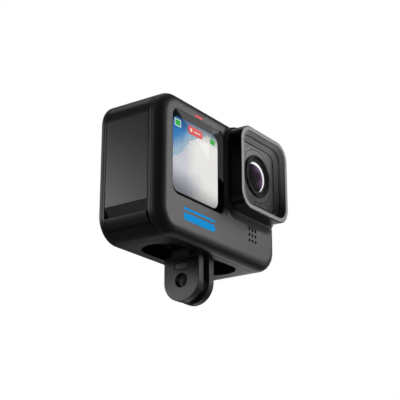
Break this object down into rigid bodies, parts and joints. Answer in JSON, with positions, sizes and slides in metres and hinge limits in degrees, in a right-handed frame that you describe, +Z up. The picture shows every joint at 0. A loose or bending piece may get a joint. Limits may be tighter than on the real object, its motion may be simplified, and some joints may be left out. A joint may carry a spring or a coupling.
{
  "type": "action camera",
  "caption": "Compact rugged action camera with a front screen, square twist-off lens cover, hinged side door over the battery bay and two folding mounting fingers.",
  "frame": {"origin": "middle of the thumb-screw bore, halfway between the two deployed mounting fingers", "axes": "+X to the right seen from the front and along the bore, +Y backwards from the lens to the touch screen, +Z up"},
  "size_m": [0.0721, 0.0335, 0.0674],
  "materials": {
    "shell_plastic": "fine textured moulded plastic",
    "door_plastic": "fine textured moulded plastic",
    "latch_plastic": "satin moulded plastic",
    "cover_black": "satin anodised black",
    "cover_window": "clear coated cover glass",
    "ring_metal": "bead-blasted grey coating",
    "barrel_black": "matt black anodised",
    "lens_glass": "multi-coated optical glass",
    "screen_glass": "gloss cover glass with a black border",
    "display_panel": "display module",
    "light_lens": "red light pipe",
    "mark_blue": "blue inlay",
    "mesh_metal": "fine woven black mesh",
    "speaker_black": "moulded",
    "screw_steel": "plated steel",
    "spring_steel": "bright spring steel",
    "filter_glass": "tinted filter glass",
    "sensor_chip": "sensor package",
    "circuit_board": "solder mask",
    "aluminium_plate": "plain sheet",
    "shield_tin": "tinned sheet",
    "bay_plastic": "moulded",
    "battery_wrap": "satin wrap",
    "pull_tab": "soft tab",
    "contact_gold": "gold plate",
    "port_steel": "drawn shell",
    "card_plastic": "moulded",
    "button_plastic": "satin moulded plastic",
    "ring_red": "red inlay",
    "seal_rubber": "silicone",
    "finger_plastic": "fine textured moulded plastic",
    "finger_pad_plastic": "satin insert"
  },
  "bodies": {
    "camera": {"front_cover": "shell_plastic", "main_housing": "shell_plastic", "rear_bezel": "shell_plastic", "mount_base": "shell_plastic", "door_hinge_pin": "spring_steel", "front_display_glass": "screen_glass", "rear_touch_glass": "screen_glass", "front_display_panel": "display_panel", "rear_display_panel": "display_panel", "status_light_front": "light_lens", "status_light_rear": "light_lens", "front_mark": "mark_blue", "speaker_mesh": "mesh_metal", "speaker": "speaker_black", "microphone": "speaker_black", "lens_mount_ring": "ring_metal", "lens_ring_screws": "screw_steel", "lens_barrel": "barrel_black", "lens_retaining_ring": "barrel_black", "front_lens_element": "lens_glass", "middle_lens_element": "lens_glass", "rear_lens_element": "lens_glass", "lens_spacer": "barrel_black", "ir_filter": "filter_glass", "sensor_holder": "barrel_black", "image_sensor": "sensor_chip", "sensor_board": "circuit_board", "heat_spreader": "aluminium_plate", "main_board": "circuit_board", "processor": "sensor_chip", "processor_shield": "shield_tin", "battery_bay": "bay_plastic", "battery": "battery_wrap", "battery_pull_tab": "pull_tab", "battery_contacts": "contact_gold", "usb_c_port": "port_steel", "usb_c_tongue": "card_plastic", "card_slot": "port_steel", "shutter_seal": "seal_rubber", "shutter_switch": "card_plastic", "mode_seal": "seal_rubber", "mode_switch": "card_plastic", "button_board": "circuit_board", "finger_pin_left": "spring_steel", "finger_pin_right": "spring_steel"},
    "shutter": {"shutter_button": "button_plastic", "shutter_ring": "ring_red"},
    "mode_key": {"mode_button": "button_plastic"},
    "finger_left": {"mount_finger_left": "finger_plastic", "finger_pad_left": "finger_pad_plastic"},
    "finger_right": {"mount_finger_right": "finger_plastic", "finger_pad_right": "finger_pad_plastic"},
    "door": {"side_door": "door_plastic", "door_gasket": "seal_rubber", "latch_spring": "spring_steel"},
    "latch": {"door_latch": "latch_plastic"},
    "lens_cover": {"lens_cover_frame": "cover_black", "lens_cover_glass": "cover_window", "lens_cover_bayonet": "screw_steel"},
    "memory_card": {"microsd_card": "card_plastic"}
  },
  "joints": [
    {"name": "shutter_press", "type": "slide", "parent": "camera", "child": "shutter", "axis": [0, 0, -1], "range_m": [0, 0.0005], "stiffness_N_per_m": 400, "springref_m": -0.0005},
    {"name": "mode_press", "type": "slide", "parent": "camera", "child": "mode_key", "axis": [-1, 0, 0], "range_m": [0, 0.0004], "stiffness_N_per_m": 400, "springref_m": -0.0004},
    {"name": "finger_left_fold", "type": "hinge", "parent": "camera", "child": "finger_left", "pos_m": [-0.00315, 0, 0.00993], "axis": [0, 1, 0], "range_deg": [0, 90]},
    {"name": "finger_right_fold", "type": "hinge", "parent": "camera", "child": "finger_right", "pos_m": [0.00315, 0, 0.00993], "axis": [0, -1, 0], "range_deg": [0, 90]},
    {"name": "door_open", "type": "hinge", "parent": "camera", "child": "door", "pos_m": [-0.0274, 0.00015, 0.05788], "axis": [0, 1, 0], "range_deg": [0, 90]},
    {"name": "latch_slide", "type": "slide", "parent": "door", "child": "latch", "axis": [0, 0, -1], "range_m": [0, 0.0015], "stiffness_N_per_m": 400, "springref_m": -0.0005, "deforming": ["latch_spring"]},
    {"name": "lens_cover_twist", "type": "hinge", "parent": "camera", "child": "lens_cover", "pos_m": [0.01765, -0.01615, 0.04128], "axis": [0, 1, 0], "range_deg": [0, 45]},
    {"name": "card_push", "type": "slide", "parent": "camera", "child": "memory_card", "axis": [1, 0, 0], "range_m": [0, 0.0008], "stiffness_N_per_m": 400, "springref_m": -0.0005}
  ]
}
